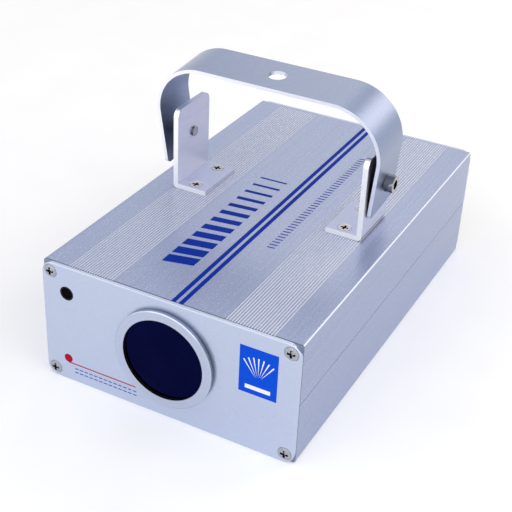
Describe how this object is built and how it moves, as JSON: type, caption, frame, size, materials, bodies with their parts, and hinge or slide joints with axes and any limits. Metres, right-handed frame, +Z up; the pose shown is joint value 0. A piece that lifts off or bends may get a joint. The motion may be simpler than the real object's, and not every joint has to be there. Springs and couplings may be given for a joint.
{
  "type": "laser show projector",
  "caption": "Laser light projector in a grooved aluminium box case with a round front window, and a strap handle that tilts on two angle brackets.",
  "frame": {"origin": "centre of the case's underside", "axes": "+X to the right seen from the front, +Y to the rear (the window faces -Y), +Z up"},
  "size_m": [0.15, 0.268, 0.1512],
  "materials": {
    "case_silver": "satin anodised",
    "panel_silver": "gloss anodised",
    "bezel_silver": "turned satin",
    "window_glass": "dark polished",
    "rubber_black": "matt",
    "microphone_black": "matt",
    "bracket_silver": "satin",
    "handle_silver": "satin",
    "screw_steel": "nickel plated",
    "bolt_chrome": "polished",
    "chassis_aluminium": "plain",
    "block_aluminium": "milled",
    "laser_black": "black anodised",
    "brass": "turned",
    "mirror": "polished",
    "motor_steel": "ground",
    "board_green": "solder resist",
    "component_black": "moulded",
    "fan_black": "moulded",
    "guard_chrome": "plated wire",
    "inlet_black": "moulded",
    "switch_black": "moulded",
    "rocker_black": "moulded",
    "pot_metal": "plated",
    "knob_black": "moulded"
  },
  "bodies": {
    "case": {"bezel_ring_nut": "bezel_silver", "board_screws": "screw_steel", "board_standoffs": "brass", "bottom_shell": "case_silver", "bracket_screws": "screw_steel", "chassis_plate": "chassis_aluminium", "chassis_screws": "screw_steel", "control_board": "board_green", "control_board_parts": "component_black", "fan_frame": "fan_black", "fan_guard": "guard_chrome", "fan_nuts": "screw_steel", "fan_screws": "screw_steel", "fold_mirror": "mirror", "fold_mirror_mount": "block_aluminium", "front_panel": "panel_silver", "front_panel_screws": "screw_steel", "galvo_block": "block_aluminium", "inlet_pins": "brass", "inlet_screws": "screw_steel", "laser_driver_board": "board_green", "laser_driver_board_parts": "component_black", "laser_head": "laser_black", "laser_heatsink": "block_aluminium", "laser_nozzle": "brass", "left_bracket": "bracket_silver", "lens_bezel": "bezel_silver", "microphone_capsule": "microphone_black", "microphone_grommet": "rubber_black", "pivot_bolts": "bolt_chrome", "pot_nuts": "screw_steel", "power_inlet": "inlet_black", "power_supply_board": "board_green", "power_supply_parts": "component_black", "rear_panel": "panel_silver", "rear_panel_screws": "screw_steel", "right_bracket": "bracket_silver", "sensitivity_pot": "pot_metal", "speed_pot": "pot_metal", "switch_housing": "switch_black", "top_shell": "case_silver", "window_gasket": "rubber_black", "window_glass": "window_glass", "window_retaining_ring": "bezel_silver", "x_galvo_motor": "motor_steel", "y_galvo_motor": "motor_steel"},
    "handle": {"handle": "handle_silver"},
    "switch_rocker": {"switch_rocker": "rocker_black"},
    "sensitivity_knob": {"sensitivity_shaft": "pot_metal", "sensitivity_knob": "knob_black"},
    "speed_knob": {"speed_shaft": "pot_metal", "speed_knob": "knob_black"},
    "fan_rotor": {"fan_rotor": "fan_black"},
    "x_scanner": {"x_galvo_shaft": "motor_steel", "x_galvo_mirror": "mirror"},
    "y_scanner": {"y_galvo_shaft": "motor_steel", "y_galvo_mirror": "mirror"}
  },
  "joints": [
    {"name": "handle_tilt", "type": "hinge", "parent": "case", "child": "handle", "pos_m": [0, -0.0015, 0.102], "axis": [1, 0, 0], "range_deg": [-110, 100]},
    {"name": "power_switch", "type": "hinge", "parent": "case", "child": "switch_rocker", "pos_m": [0.0175, 0.12375, 0.052], "axis": [0, 0, 1], "range_deg": [-18, 0]},
    {"name": "sensitivity_turn", "type": "hinge", "parent": "case", "child": "sensitivity_knob", "pos_m": [0.0345, 0.12375, 0.052], "axis": [0, 1, 0], "range_deg": [-150, 150]},
    {"name": "speed_turn", "type": "hinge", "parent": "case", "child": "speed_knob", "pos_m": [0.0505, 0.12375, 0.052], "axis": [0, 1, 0], "range_deg": [-150, 150]},
    {"name": "fan_spin", "type": "hinge", "parent": "case", "child": "fan_rotor", "pos_m": [-0.033, 0.11425, 0.036], "axis": [0, 1, 0], "continuous": true},
    {"name": "x_scan", "type": "hinge", "parent": "case", "child": "x_scanner", "pos_m": [0, -0.08775, 0.024], "axis": [0, 1, 0], "range_deg": [-12, 12]},
    {"name": "y_scan", "type": "hinge", "parent": "case", "child": "y_scanner", "pos_m": [0, -0.08775, 0.036], "axis": [1, 0, 0], "range_deg": [-12, 12]}
  ]
}
